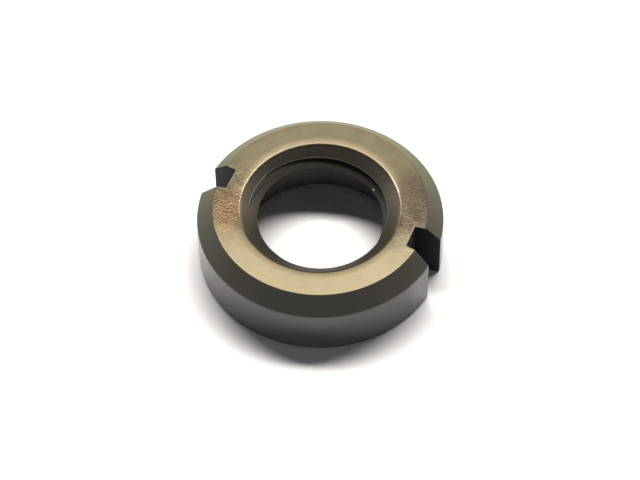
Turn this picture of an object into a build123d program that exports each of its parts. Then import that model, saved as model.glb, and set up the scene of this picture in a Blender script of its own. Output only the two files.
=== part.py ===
"""Spring adjusting nut: one ring, turned from bar and milled with two spanner notches.

Millimetres, +Z up. The origin is on the nut's axis, in the plane of the underside, which
takes the spring. The notches lie on the X axis.
"""

from build123d import *

import os
from math import radians, tan

# Turned blank
outer_diameter = 14.0
height = 3.9
rim_bevel = 0.92  # wide 45 degree bevel between the top face and the rim
foot_bevel = 0.1  # fine one round the foot of the rim

# Bore of the M8 x 1 right-hand thread, drawn at the thread's crests
bore_diameter = 7.14  # tolerance 6H allows 6.917 to 7.153
countersink_diameter = 9.05
countersink_angle = 90

# Spring seat: a flat-bottomed pocket in the underside, wider than the thread
seat_diameter = 9.2
seat_depth = 2.2
seat_lead_in = 0.1

# Spanner notches: full height, with sides that point at the nut's axis
notch_count = 2
notch_depth = 1.53
notch_angle = 15  # between the two sides of one notch

# Deburred edges of the top face and the notches
edge_break = 0.05

notch_floor_radius = outer_diameter / 2 - notch_depth


def notch_plan():
    """Corners of one notch on the +X side, open past the rim."""
    side_slope = tan(radians(notch_angle / 2))
    floor_half_width = notch_floor_radius * side_slope
    mouth_half_width = outer_diameter * side_slope
    return [
        (notch_floor_radius, -floor_half_width),
        (outer_diameter, -mouth_half_width),
        (outer_diameter, mouth_half_width),
        (notch_floor_radius, floor_half_width),
    ]


with BuildPart() as nut:
    # The blank, bevelled at rim and foot
    with BuildSketch():
        Circle(outer_diameter / 2)
    extrude(amount=height)
    rim_edges = nut.edges().filter_by(GeomType.CIRCLE).sort_by(Axis.Z)
    chamfer(rim_edges[-1], length=rim_bevel)
    chamfer(rim_edges[0], length=foot_bevel)

    # The bore, countersunk from the top
    with Locations((0, 0, height)):
        CounterSinkHole(
            radius=bore_diameter / 2,
            counter_sink_radius=countersink_diameter / 2,
            counter_sink_angle=countersink_angle,
        )
    chamfer(nut.faces().sort_by(Axis.Z)[-1].edges(), length=edge_break)

    # The spring seat, bored from below
    with BuildSketch():
        Circle(seat_diameter / 2)
    extrude(amount=seat_depth, mode=Mode.SUBTRACT)
    seat_mouth = nut.faces().sort_by(Axis.Z)[0].inner_wires().edges()
    chamfer(seat_mouth, length=seat_lead_in)

    # The spanner notches, deburred where they meet the turned faces
    with BuildSketch():
        with PolarLocations(0, notch_count):
            Polygon(notch_plan())
    extrude(amount=height, mode=Mode.SUBTRACT)
    flat_faces = nut.faces().filter_by(GeomType.PLANE)
    notch_faces = flat_faces - flat_faces.filter_by(Axis.Z)
    notch_edges = notch_faces.edges() & (nut.faces() - notch_faces).edges()
    chamfer(notch_edges, length=edge_break)

nut.part.label = "spring_adjusting_nut"
os.makedirs("parts", exist_ok=True)
export_step(nut.part, "parts/spring_adjusting_nut.step")
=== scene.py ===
"""Spring adjusting nut, lying on its spring side on a white table.

Metres, +Z up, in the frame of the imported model. The nut's axis is Z and its two spanner
notches lie on the X axis.
"""

import math

import bpy
from mathutils import Matrix, Vector


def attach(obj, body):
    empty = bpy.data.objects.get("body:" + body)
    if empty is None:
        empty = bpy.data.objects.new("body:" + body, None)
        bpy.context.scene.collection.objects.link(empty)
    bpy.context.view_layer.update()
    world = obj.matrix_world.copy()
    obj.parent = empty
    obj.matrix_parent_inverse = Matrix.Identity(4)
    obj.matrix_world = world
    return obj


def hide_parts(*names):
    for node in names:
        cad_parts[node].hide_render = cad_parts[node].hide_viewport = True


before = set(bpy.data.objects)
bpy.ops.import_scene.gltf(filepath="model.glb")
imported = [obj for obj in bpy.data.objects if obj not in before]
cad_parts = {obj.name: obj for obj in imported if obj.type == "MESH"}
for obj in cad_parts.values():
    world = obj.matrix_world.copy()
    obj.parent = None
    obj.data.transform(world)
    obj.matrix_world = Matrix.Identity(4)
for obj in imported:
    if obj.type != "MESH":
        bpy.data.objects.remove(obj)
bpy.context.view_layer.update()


# The ring
# The nut is one low ring turned from aluminium bar. The top has a wide bevel round the rim
# and a countersunk bore, and the underside has a flat-bottomed seat for the spring. All of
# it is blasted and then hard anodised, to a dark bronze.

MM = 0.001  # the nut is modelled in millimetres, and brought to metres when it is finished
RING_STEPS = 240
NUT_RADIUS = 7.0
NUT_HEIGHT = 3.9
BEVEL_RADIUS = 6.08
BORE_RADIUS = 3.57
SEAT_RADIUS = 4.6
SEAT_CEILING = 2.2
# Radius and height of each turned corner, from the top of the rim inwards and down, with the
# width that its rounding takes
TURNED_CORNERS = (
    (NUT_RADIUS, 2.98, 0.08),
    (BEVEL_RADIUS, 3.87, 0.02),
    (4.85, NUT_HEIGHT, 0.2),
    (4.525, 3.885, 0.1),
    (BORE_RADIUS, 2.945, 0),
    (BORE_RADIUS, SEAT_CEILING, 0),
    (SEAT_RADIUS, SEAT_CEILING, 0),
    (SEAT_RADIUS, 0, 0.1),
    (NUT_RADIUS, 0, 0.1),
)
ROUNDING_STEPS = 6
RING_MERGE = 0.001

# Which cut left a face is read from where it lies and from how far it looks up, which is the
# height of its normal
FOOT_HEIGHT = 0.1
EDGE_RADIUS = 5
FOOT_LIFT = -0.5
CONE_LIFT = 0.3
WALL_LIFT = 0.35
ROLL_LIFT = 0.75
FLAT_LIFT = 0.99

PHOTO_TURN = math.radians(22.9)  # from the nut's X axis to the picture's right
LEFT = math.radians(180) + PHOTO_TURN

# The grain shows most at one side and at the one opposite: fully within the core, and less
# and less out to the reach, where the least of it is left
GRAIN_SIZE = 0.11
GRAIN_SIDE = math.radians(170) + PHOTO_TURN
GRAIN_REACH = math.radians(34)
GRAIN_CORE = math.radians(8)
GRAIN_LEAST = 0.3
BLOTCH_SCALE = 1400
BLOTCH_DULLING = 0.06

# Tint, side and, in millimetres, outer and inner limit of each patch of painted light and
# shade, and the clouds that make its outline uneven
PAINTED_SHADING_PATCHES = (("Left painted shading", 1, 3.6, 1.2), ("Right painted shading", -1, 3.9, 2.2))
PAINTED_SHADING_RADIUS = 5.3
CLOUD_SCALE = 250
CLOUD_DRIFT = 2.0

# Radius, azimuth in the picture, height and turn of the scratch and of the painted glint,
# with their half sizes and strength
SCRATCH_AND_GLINT = (
    (4.95, 176.2, NUT_HEIGHT, 3, (0.38, 0.035, 0.3), 0.12),
    (3.68, 33, 2.76, 0, (0.08, 0.08, 0.08), 1),
)
SCRATCH_AND_GLINT_CORE = 0.6
BARE_METAL_AND_GLINT = (0.85, 0.77, 0.66, 1)

# Colours of the skin: over most of the nut, and painted light and shade in a patch at its left
# and one at its right
TOP_TINTS = ((0.109, 0.091, 0.055, 1), (0.13, 0.085, 0.046, 1), (0.084, 0.065, 0.043, 1))
EDGE_TINTS = ((0.109, 0.09, 0.056, 1), (0.55, 0.42, 0.26, 1), (0.3, 0.25, 0.18, 1))
SUNK_TINTS = ((0.18, 0.163, 0.122, 1), (0.27, 0.225, 0.15, 1), (0.23, 0.205, 0.14, 1))
SMOKE = ((0.095, 0.092, 0.078, 1),) * 3
SLATE = ((0.073, 0.072, 0.069, 1),) * 3
# The bore's near-black tint is painted shade in the recess; its side patches are painted light
DUSK = ((0.012, 0.01, 0.01, 1), (0.2, 0.19, 0.15, 1), (0.1, 0.093, 0.075, 1))
ASH = ((0.16, 0.151, 0.157, 1), (0.5, 0.48, 0.46, 1), (0.16, 0.151, 0.157, 1))
# Colours of the gloss, and the way it spreads
WHITE = (1, 1, 1, 1)
ACROSS = 0.25  # in turns, from along the turning marks to across them
SUNK_GLOSS = (0.3, 0.26, 0.3, 1)
SMOKE_GLOSS = (1, 0.98, 0.4, 1)


def feed(tree, socket, value):
    """Gives an input a constant, or a link from an output socket."""
    if isinstance(value, bpy.types.NodeSocket):
        tree.links.new(value, socket)
    else:
        socket.default_value = value


def add_node(tree, kind, settings=None, **inputs):
    """Adds a shader node with its settings, and feeds its inputs by name."""
    node = tree.nodes.new(kind)
    for name, value in (settings or {}).items():
        setattr(node, name, value)
    for name, value in inputs.items():
        feed(tree, node.inputs[name.replace("_", " ")], value)
    return node


def add_math(tree, operation, *values, kind="ShaderNodeMath", output="Value"):
    """Adds a math node, feeds its inputs in their order and returns its output."""
    node = add_node(tree, kind, {"operation": operation})
    for socket, value in zip(node.inputs, values):
        feed(tree, socket, value)
    return node.outputs[output]


def add_mix(tree, factor, under, over):
    """Adds a mix of two colours and returns its output."""
    mix = add_node(tree, "ShaderNodeMix", {"data_type": "RGBA"}, Factor=factor, A=under, B=over)
    return mix.outputs["Result"]


def make_anodising_group():
    """The skin: a tint, painted light and shade at each side, a scratch, a painted glint and
    blasted grain.
    """
    group = bpy.data.node_groups.new("anodising", "ShaderNodeTree")
    for name, way, kind in (
        ("Tint", "INPUT", "Color"),
        ("Left painted shading", "INPUT", "Color"),
        ("Right painted shading", "INPUT", "Color"),
        ("Roughness", "INPUT", "Float"),
        ("Speckle", "INPUT", "Float"),
        ("Grain size", "INPUT", "Float"),
        ("Color", "OUTPUT", "Color"),
        ("Roughness", "OUTPUT", "Float"),
        ("Height", "OUTPUT", "Float"),
    ):
        group.interface.new_socket(name, in_out=way, socket_type="NodeSocket" + kind)
    given = group.nodes.new("NodeGroupInput")
    result = group.nodes.new("NodeGroupOutput")
    place = group.nodes.new("ShaderNodeTexCoord").outputs["Object"]

    # Painted light and shade: a patch at the nut's left and one at its right, each in a tint of
    # its own
    clouds = add_node(group, "ShaderNodeTexNoise", Vector=place, Scale=CLOUD_SCALE, Detail=2)
    color = given.outputs["Tint"]
    for name, side, edge, core in PAINTED_SHADING_PATCHES:
        centre = (
            side * PAINTED_SHADING_RADIUS * math.cos(LEFT) * MM,
            side * PAINTED_SHADING_RADIUS * math.sin(LEFT) * MM,
            NUT_HEIGHT * MM,
        )
        reach = add_math(group, "DISTANCE", place, centre, kind="ShaderNodeVectorMath")
        span = add_math(group, "DIVIDE", reach, MM)
        drift = add_math(group, "MULTIPLY_ADD", clouds.outputs["Fac"], CLOUD_DRIFT, span)
        patch = add_node(
            group,
            "ShaderNodeMapRange",
            {"interpolation_type": "SMOOTHSTEP"},
            Value=drift,
            From_Min=edge,
            From_Max=core,
        )
        color = add_mix(group, patch.outputs["Result"], color, given.outputs[name])

    # A faint scratch on the top shows bare metal, and a bright fleck in the thread is a painted
    # glint
    for radius, azimuth, height, turn, reach, strength in SCRATCH_AND_GLINT:
        azimuth = math.radians(azimuth) + PHOTO_TURN
        centre = (radius * math.cos(azimuth), radius * math.sin(azimuth), height)
        spot = add_node(
            group,
            "ShaderNodeMapping",
            {"vector_type": "TEXTURE"},
            Vector=place,
            Location=[value * MM for value in centre],
            Rotation=(0, 0, math.radians(turn) + PHOTO_TURN),
            Scale=[value * MM for value in reach],
        )
        distance = add_math(group, "LENGTH", spot.outputs["Vector"], kind="ShaderNodeVectorMath")
        inside = add_node(
            group,
            "ShaderNodeMapRange",
            Value=distance,
            From_Min=1,
            From_Max=SCRATCH_AND_GLINT_CORE,
            To_Max=strength,
        )
        color = add_mix(group, inside.outputs["Result"], color, BARE_METAL_AND_GLINT)

    # Grain of the blasting, its size given in millimetres, and blotches in the dye
    scale = add_math(group, "DIVIDE", 1 / MM, given.outputs["Grain size"])
    grain = add_node(group, "ShaderNodeTexNoise", Vector=place, Scale=scale, Detail=2)
    flat = add_math(
        group, "MULTIPLY", place, (1, 1, 0), kind="ShaderNodeVectorMath", output="Vector"
    )
    outward = add_math(group, "NORMALIZE", flat, kind="ShaderNodeVectorMath", output="Vector")
    side = (math.cos(GRAIN_SIDE), math.sin(GRAIN_SIDE), 0)
    aside = add_math(group, "DOT_PRODUCT", outward, side, kind="ShaderNodeVectorMath")
    struck = add_node(
        group,
        "ShaderNodeMapRange",
        {"interpolation_type": "SMOOTHSTEP"},
        Value=add_math(group, "ABSOLUTE", aside),
        From_Min=math.cos(GRAIN_REACH),
        From_Max=math.cos(GRAIN_CORE),
        To_Min=GRAIN_LEAST,
    ).outputs["Result"]
    blotches = add_node(group, "ShaderNodeTexNoise", Vector=place, Scale=BLOTCH_SCALE, Detail=3)

    # Speckles: the grain and the blotches, 1 together on average, darken and lighten the skin
    both = add_math(group, "ADD", grain.outputs["Fac"], blotches.outputs["Fac"])
    centred = add_math(group, "SUBTRACT", both, 1)
    amount = add_math(group, "MULTIPLY", struck, given.outputs["Speckle"])
    speckle = add_math(group, "MULTIPLY_ADD", centred, amount, 1)
    shade = add_node(
        group, "ShaderNodeVectorMath", {"operation": "SCALE"}, Vector=color, Scale=speckle
    )
    feed(group, result.inputs["Color"], shade.outputs["Vector"])

    # The blotches are a little duller
    plain = given.outputs["Roughness"]
    dull = add_math(group, "MULTIPLY_ADD", blotches.outputs["Fac"], BLOTCH_DULLING, plain)
    feed(group, result.inputs["Roughness"], dull)
    height = add_math(group, "MULTIPLY", grain.outputs["Fac"], struck)
    feed(group, result.inputs["Height"], height)
    return group


ANODISING = make_anodising_group()


def anodised(
    name, tints, metal, roughness, speckle=0.15, depth=0.003, sheen=0, gloss=0.5, gloss_tint=WHITE
):
    """A material with the anodised skin: its own tint, and painted light and shade at both sides.

    The depth is its grain's, in millimetres. A sheen above 0 spreads the gloss across the
    turning marks, which run round the axis.
    """
    material = bpy.data.materials.new(name)
    material.use_nodes = True
    tree = material.node_tree
    shader = tree.nodes["Principled BSDF"]
    shader.inputs["Metallic"].default_value = metal
    shader.inputs["Specular IOR Level"].default_value = gloss
    shader.inputs["Specular Tint"].default_value = gloss_tint
    skin = tree.nodes.new("ShaderNodeGroup")
    skin.node_tree = ANODISING
    for socket, value in (
        ("Tint", tints[0]),
        ("Left painted shading", tints[1]),
        ("Right painted shading", tints[2]),
        ("Roughness", roughness),
        ("Speckle", speckle),
        ("Grain size", GRAIN_SIZE),
    ):
        skin.inputs[socket].default_value = value
    bump = add_node(
        tree, "ShaderNodeBump", Strength=1, Distance=depth * MM, Height=skin.outputs["Height"]
    )
    feed(tree, shader.inputs["Base Color"], skin.outputs["Color"])
    feed(tree, shader.inputs["Roughness"], skin.outputs["Roughness"])
    feed(tree, shader.inputs["Normal"], bump.outputs["Normal"])
    if sheen:
        shader.inputs["Anisotropic"].default_value = sheen
        shader.inputs["Anisotropic Rotation"].default_value = ACROSS
        marks = add_node(tree, "ShaderNodeTangent", {"direction_type": "RADIAL", "axis": "Z"})
        feed(tree, shader.inputs["Tangent"], marks.outputs["Tangent"])
    return material


faced = anodised(
    "anodised faced top",
    TOP_TINTS,
    metal=0.9,
    roughness=0.26,
    speckle=1.2,
    depth=0.0055,
    sheen=0.69,
)
edged = anodised(
    "anodised inner edge",
    EDGE_TINTS,
    metal=0.9,
    roughness=0.26,
    speckle=1.2,
    depth=0.009,
    sheen=0.69,
)
bevelled = anodised(
    "anodised bevel",
    SMOKE,
    metal=0.4,
    roughness=0.3,
    sheen=0.4,
    gloss=0.3,
    gloss_tint=SMOKE_GLOSS,
)
rim = anodised("anodised rim", SLATE, metal=0.1, roughness=0.16, depth=0.002)
sunk = anodised(
    "anodised countersink",
    SUNK_TINTS,
    metal=0.8,
    roughness=0.28,
    sheen=0.4,
    gloss_tint=SUNK_GLOSS,
)
seat = anodised("anodised seat", ASH, metal=0, roughness=0.5)
bored = anodised("anodised bore", DUSK, metal=0.5, roughness=0.3, sheen=0.4, gloss=0.2)


def select_only(piece):
    """Makes one object the selected and active one."""
    bpy.ops.object.select_all(action="DESELECT")
    piece.select_set(True)
    bpy.context.view_layer.objects.active = piece


def slot_of(piece, material):
    """Index of one of the piece's materials."""
    return piece.data.materials.find(material.name)


def rounded(corners):
    """The tool's path through the corners, each rounded over its width."""
    path = []
    for index, (radius, height, width) in enumerate(corners):
        corner = Vector((radius, height))
        if not width:
            path.append(corner)
            continue
        before = Vector(corners[index - 1][:2])
        after = Vector(corners[(index + 1) % len(corners)][:2])
        start = corner + (before - corner).normalized() * width
        end = corner + (after - corner).normalized() * width
        for step in range(ROUNDING_STEPS + 1):
            share = step / ROUNDING_STEPS
            path.append(start.lerp(corner, share).lerp(corner.lerp(end, share), share))
    return path


tool_path = rounded(TURNED_CORNERS)
first, last = tool_path[0], tool_path[-1]
wall_middle = (first.y + last.y) / 2
bpy.ops.object.select_all(action="DESELECT")
bpy.ops.mesh.primitive_cylinder_add(
    vertices=RING_STEPS,
    radius=last.x,
    depth=first.y - last.y,
    end_fill_type="NOTHING",
    location=(0, 0, wall_middle),
    rotation=(0, 0, math.pi / RING_STEPS),  # no ring vertex on a side of a notch
)
nut = bpy.context.active_object
nut.name = "nut"
bpy.ops.object.transform_apply(location=True, rotation=True, scale=True)
for vertex in nut.data.vertices:
    vertex.select = vertex.co.z > wall_middle
for edge in nut.data.edges:
    edge.select = all(nut.data.vertices[end].select for end in edge.vertices)
for face in nut.data.polygons:
    face.select = False

# The open upper ring of the wall is carried round the whole section, back to its foot
bpy.ops.object.mode_set(mode="EDIT")
bpy.ops.mesh.select_mode(type="EDGE")
for start, end in zip(tool_path, tool_path[1:]):
    bpy.ops.mesh.extrude_region_move(TRANSFORM_OT_translate={"value": (0, 0, end.y - start.y)})
    factor = end.x / start.x
    bpy.ops.transform.resize(value=(factor, factor, 1), center_override=(0, 0, end.y))
bpy.ops.mesh.select_all(action="SELECT")
bpy.ops.mesh.remove_doubles(threshold=RING_MERGE)
bpy.ops.mesh.normals_make_consistent(inside=False)
bpy.ops.object.mode_set(mode="OBJECT")

for material in (bored, faced, bevelled, rim, sunk, seat, edged):
    nut.data.materials.append(material)
for face in nut.data.polygons:
    radius = face.center.xy.length
    height = face.center.z
    lift = face.normal.z
    if radius > BEVEL_RADIUS or lift < FOOT_LIFT and height < FOOT_HEIGHT:
        cut = rim if lift < WALL_LIFT else bevelled
    elif height > SEAT_CEILING and lift > CONE_LIFT:
        if lift > FLAT_LIFT or radius > EDGE_RADIUS:
            cut = faced
        else:
            cut = edged if lift > ROLL_LIFT else sunk
    else:
        cut = seat if height < SEAT_CEILING + RING_MERGE else bored
    face.material_index = slot_of(nut, cut)


# The spanner notches
# Two opposite notches take the lugs of the spanner that turns the nut. They are milled
# through the full height, with sides that point at the axis.

NOTCH_FLOOR = 5.47
NOTCH_REACH = 9
NOTCH_HALF_ANGLE = math.radians(7.5)
SOOT = ((0.034, 0.029, 0.034, 1),) * 3

milled = anodised("anodised milled", SOOT, metal=0, roughness=0.35, gloss=0.1)


def cut_away(piece, cutter):
    """Takes the cutter's shape and its material into the piece, and deletes the cutter."""
    select_only(piece)
    boolean = piece.modifiers.new("cut", "BOOLEAN")
    boolean.operation = "DIFFERENCE"
    boolean.solver = "EXACT"
    boolean.material_mode = "TRANSFER"
    boolean.object = cutter
    bpy.ops.object.modifier_apply(modifier=boolean.name)
    bpy.data.objects.remove(cutter)


for side in (1, -1):
    bpy.ops.object.select_all(action="DESELECT")
    bpy.ops.mesh.primitive_cube_add(size=1, location=(0, 0, 0))
    cutter = bpy.context.active_object
    cutter.data.materials.append(milled)
    for vertex in cutter.data.vertices:
        along = NOTCH_REACH if vertex.co.x > 0 else NOTCH_FLOOR
        across = math.copysign(along * math.tan(NOTCH_HALF_ANGLE), vertex.co.y)
        vertex.co = (side * along, side * across, vertex.co.z * NOTCH_REACH)
    cut_away(nut, cutter)


# The thread
# An M8 x 1 right-hand thread is tapped through the bore after the countersink. Its last
# turn runs out into the countersink, and its lower end into the spring seat.

PITCH = 1.0
ROOT_RADIUS = 4.05
ROOT_HALF_WIDTH = 0.0625
TAP_CORE_RADIUS = 3.31
FLANK_SLOPE = math.tan(math.radians(30))
TAP_TURNS = 3
TAP_START_HEIGHT = 1.22
TAP_START_ANGLE = math.radians(113.125)
TAP_MERGE = 0.0005
# Thread colour, with painted light in the patches at its left and right
UMBER = ((0.068, 0.063, 0.054, 1), (0.2, 0.19, 0.15, 1), (0.14, 0.13, 0.105, 1))

tapped = anodised(
    "anodised thread", UMBER, metal=0.5, roughness=0.28, depth=0.002, sheen=0.4
)

# The tap is one tooth's section, wound up the axis
bpy.ops.object.select_all(action="DESELECT")
bpy.ops.mesh.primitive_plane_add(size=1, location=(0, 0, 0))
tap = bpy.context.active_object
tap.data.materials.append(tapped)
core_half_width = ROOT_HALF_WIDTH + (ROOT_RADIUS - TAP_CORE_RADIUS) * FLANK_SLOPE
for vertex in tap.data.vertices:
    at_root = vertex.co.x > 0
    radius = ROOT_RADIUS if at_root else TAP_CORE_RADIUS
    half_width = ROOT_HALF_WIDTH if at_root else core_half_width
    vertex.co = (
        radius * math.cos(TAP_START_ANGLE),
        radius * math.sin(TAP_START_ANGLE),
        TAP_START_HEIGHT + math.copysign(half_width, vertex.co.y),
    )
select_only(tap)
helix = tap.modifiers.new("helix", "SCREW")
helix.axis = "Z"
helix.angle = math.tau
helix.screw_offset = PITCH
helix.iterations = TAP_TURNS
helix.steps = helix.render_steps = RING_STEPS
bpy.ops.object.modifier_apply(modifier=helix.name)
bpy.ops.object.mode_set(mode="EDIT")
bpy.ops.mesh.select_all(action="SELECT")
bpy.ops.mesh.remove_doubles(threshold=TAP_MERGE)
bpy.ops.mesh.select_mode(type="EDGE")
bpy.ops.mesh.select_all(action="DESELECT")
bpy.ops.mesh.select_non_manifold()
bpy.ops.mesh.fill_holes(sides=4)
bpy.ops.mesh.select_all(action="SELECT")
bpy.ops.mesh.normals_make_consistent(inside=False)
bpy.ops.object.mode_set(mode="OBJECT")
cut_away(nut, tap)


# The bevelled edges, with painted highlights
# The tap's upper edge in the countersink is bevelled, and the bevel is painted light as a
# highlight, nearly all the way round. The notches' edges are deburred like the turned ones,
# and painted lighter, as a highlight, where they lie in the top.

EDGE_WIDTH = 0.05
EDGE_SEGMENTS = 2
EDGE_HIGHLIGHT_START = math.radians(210.2)
EDGE_HIGHLIGHT_SWEEP = math.radians(345)
EDGE_HIGHLIGHT_HEIGHT = 2.8  # just under the tap's edge where it starts
EDGE_HIGHLIGHT_TINTS = ((0.45, 0.42, 0.36, 1), (0.6, 0.56, 0.48, 1), (1, 0.96, 0.88, 1))
DEBURRED_HEIGHT = 3.83
DEBURRED_HIGHLIGHT_TINTS = ((0.45, 0.4, 0.31, 1), (0.65, 0.55, 0.4, 1), (0.6, 0.53, 0.4, 1))
NUT_MERGE = 0.0001
SMOOTH_ANGLE = math.radians(21)


def edges_between(piece, material):
    """Indices of the edges where faces of a material meet faces of others."""
    index = slot_of(piece, material)
    beside = {}
    for face in piece.data.polygons:
        for key in face.edge_keys:
            beside.setdefault(key, set()).add(face.material_index == index)
    return [edge.index for edge in piece.data.edges if len(beside[edge.key]) == 2]


def break_edges(piece, chosen, material):
    """Bevels the chosen edges, and gives the bevels a material of their own."""
    piece.data.materials.append(material)
    select_only(piece)
    bpy.ops.object.mode_set(mode="EDIT")
    bpy.ops.mesh.select_mode(type="EDGE")
    bpy.ops.mesh.select_all(action="DESELECT")
    bpy.ops.object.mode_set(mode="OBJECT")
    for index in chosen:
        piece.data.edges[index].select = True
    bpy.ops.object.mode_set(mode="EDIT")
    bpy.ops.mesh.bevel(
        offset=EDGE_WIDTH,
        offset_type="OFFSET",
        segments=EDGE_SEGMENTS,
        affect="EDGES",
        material=slot_of(piece, material),
    )
    bpy.ops.object.mode_set(mode="OBJECT")


# The bevel on the tap's upper edge is painted light, as a highlight
painted_edge_highlight = anodised(
    "anodised painted edge highlight", EDGE_HIGHLIGHT_TINTS, metal=0.4, roughness=0.3, speckle=0.3, depth=0.004
)
outer_sides = set()
for face in nut.data.polygons:
    if face.material_index == slot_of(nut, sunk):
        for key in face.edge_keys:
            ends = [nut.data.vertices[end].co for end in key]
            if face.center.xy.length > (ends[0].xy.length + ends[1].xy.length) / 2:
                outer_sides.add(key)
mouth = []
for index in edges_between(nut, tapped):
    edge = nut.data.edges[index]
    ends = [nut.data.vertices[end].co for end in edge.vertices]
    turned = max((math.atan2(end.y, end.x) - EDGE_HIGHLIGHT_START) % math.tau for end in ends)
    # The thread's upper flank meets the countersink in a line that climbs less than the thread
    climb = turned / math.tau * PITCH / (1 + FLANK_SLOPE)
    lowest = min(end.z for end in ends)
    if edge.key in outer_sides and turned < EDGE_HIGHLIGHT_SWEEP and lowest > EDGE_HIGHLIGHT_HEIGHT + climb:
        mouth.append(index)
break_edges(nut, mouth, painted_edge_highlight)

# The deburred notch edges are painted light, as a highlight, where they lie in the top
deburred_highlighted = anodised(
    "anodised notch edge", DEBURRED_HIGHLIGHT_TINTS, metal=0.3, roughness=0.3, speckle=0.3, depth=0.004
)
break_edges(nut, edges_between(nut, milled), deburred_highlighted)
# Lower down, the notch edges lose the painted highlight and take the milled colour
for face in nut.data.polygons:
    if face.material_index == slot_of(nut, deburred_highlighted) and face.center.z < DEBURRED_HEIGHT:
        face.material_index = slot_of(nut, milled)

select_only(nut)
bpy.ops.object.mode_set(mode="EDIT")
bpy.ops.mesh.select_all(action="SELECT")
bpy.ops.mesh.remove_doubles(threshold=NUT_MERGE)
bpy.ops.object.mode_set(mode="OBJECT")
bpy.ops.object.shade_smooth_by_angle(angle=SMOOTH_ANGLE)
weighted = nut.modifiers.new("weighted normals", "WEIGHTED_NORMAL")
weighted.keep_sharp = True
bpy.ops.object.modifier_apply(modifier=weighted.name)

# The finished nut is brought from millimetres to metres
select_only(nut)
bpy.ops.transform.resize(value=(MM, MM, MM), center_override=(0, 0, 0))
bpy.ops.object.transform_apply(location=True, rotation=True, scale=True)

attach(nut, "root")
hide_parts("spring_adjusting_nut")


# The table
# A smooth white table that the nut lies on. It is plain, and only takes the shadow. The
# camera and the gloss see it whiter than the light that it throws back on the nut.

TABLE_SIZE = 2
TABLE_DROP = 0.002  # millimetres that it lies clear of the nut
FLOOR_COLOR = (0.85, 0.85, 0.85, 1)
SEEN_FLOOR_COLOR = (1.3, 1.3, 1.3, 1)

bpy.ops.object.select_all(action="DESELECT")
bpy.ops.mesh.primitive_plane_add(size=TABLE_SIZE, location=(0, 0, -TABLE_DROP * MM))
table = bpy.context.active_object
table.name = "table"
white = bpy.data.materials.new("white table")
white.use_nodes = True
tree = white.node_tree
tree.nodes.remove(tree.nodes["Principled BSDF"])
rays = tree.nodes.new("ShaderNodeLightPath").outputs
seen = add_math(tree, "ADD", rays["Is Camera Ray"], rays["Is Glossy Ray"])
seen_through = add_math(tree, "ADD", seen, rays["Is Transmission Ray"])
seen_through.node.use_clamp = True
choice = add_mix(tree, seen_through, FLOOR_COLOR, SEEN_FLOOR_COLOR)
matt = add_node(tree, "ShaderNodeBsdfDiffuse", Color=choice)
feed(tree, tree.nodes["Material Output"].inputs["Surface"], matt.outputs["BSDF"])
table.data.materials.append(white)


# Light and camera
# One warm soft light stands high behind the nut, and the room fills in dimly from all
# round. The camera looks down at the nut from the front.

KEY_AZIMUTH = math.radians(83) + PHOTO_TURN
KEY_ELEVATION = math.radians(64.5)
KEY_DISTANCE = 0.4
KEY_HALF_LENGTH = math.radians(32)
KEY_HALF_WIDTH = math.radians(7)
KEY_LEVEL = 1.2
KEY_COLOR = (1, 0.965, 0.93)
FILL_COLOR = (0.97, 0.92, 1.0, 1)
HORIZON_LEVEL = 1.2
OVERHEAD_LEVEL = 0.018
HORIZON_TOP = math.sin(math.radians(25))
CAMERA_AZIMUTH = math.radians(270) + PHOTO_TURN
CAMERA_ELEVATION = math.radians(53.754)
CAMERA_DISTANCE = 0.147
CAMERA_ROLL = math.radians(-0.947)
CAMERA_LENS = 143.4
CAMERA_SENSOR = 36
CAMERA_SHIFT = (-0.0011, 0.0118)
CAMERA_CLIP = (0.01, 10)


def direction(azimuth, elevation):
    """Unit vector towards a place round and above the nut."""
    return Vector((
        math.cos(azimuth) * math.cos(elevation),
        math.sin(azimuth) * math.cos(elevation),
        math.sin(elevation),
    ))


key_data = bpy.data.lights.new("key", "AREA")
key_data.shape = "ELLIPSE"
key_data.size = 2 * KEY_DISTANCE * math.tan(KEY_HALF_LENGTH)
key_data.size_y = 2 * KEY_DISTANCE * math.tan(KEY_HALF_WIDTH)
key_data.energy = KEY_LEVEL * (math.pi * KEY_DISTANCE) ** 2 / math.sin(KEY_ELEVATION)
key_data.color = KEY_COLOR
key = bpy.data.objects.new("key", key_data)
bpy.context.scene.collection.objects.link(key)
key.location = KEY_DISTANCE * direction(KEY_AZIMUTH, KEY_ELEVATION)
key.rotation_euler = (-key.location).to_track_quat("-Z", "Y").to_euler()

room = bpy.data.worlds.new("room")
room.use_nodes = True
air = room.node_tree
outward = air.nodes.new("ShaderNodeTexCoord").outputs["Generated"]
upward = add_node(air, "ShaderNodeSeparateXYZ", Vector=outward).outputs["Z"]
fade = add_node(
    air,
    "ShaderNodeMapRange",
    {"interpolation_type": "SMOOTHSTEP"},
    Value=upward,
    From_Min=0,
    From_Max=HORIZON_TOP,
    To_Min=HORIZON_LEVEL,
    To_Max=OVERHEAD_LEVEL,
)
walls = air.nodes["Background"]
walls.inputs["Color"].default_value = FILL_COLOR
feed(air, walls.inputs["Strength"], fade.outputs["Result"])
bpy.context.scene.world = room

camera_data = bpy.data.cameras.new("camera")
camera_data.sensor_width = CAMERA_SENSOR
camera_data.lens = CAMERA_LENS
camera_data.shift_x, camera_data.shift_y = CAMERA_SHIFT
camera_data.clip_start, camera_data.clip_end = CAMERA_CLIP
camera = bpy.data.objects.new("camera", camera_data)
bpy.context.scene.collection.objects.link(camera)
camera.location = CAMERA_DISTANCE * direction(CAMERA_AZIMUTH, CAMERA_ELEVATION)
back = camera.location.normalized()
right = Vector((0, 0, 1)).cross(back).normalized()
upright = Matrix((right, back.cross(right), back)).transposed().to_4x4()
rolled = upright @ Matrix.Rotation(CAMERA_ROLL, 4, "Z")
camera.rotation_euler = rolled.to_euler()
bpy.context.scene.camera = camera

bpy.context.scene.view_settings.view_transform = "Standard"
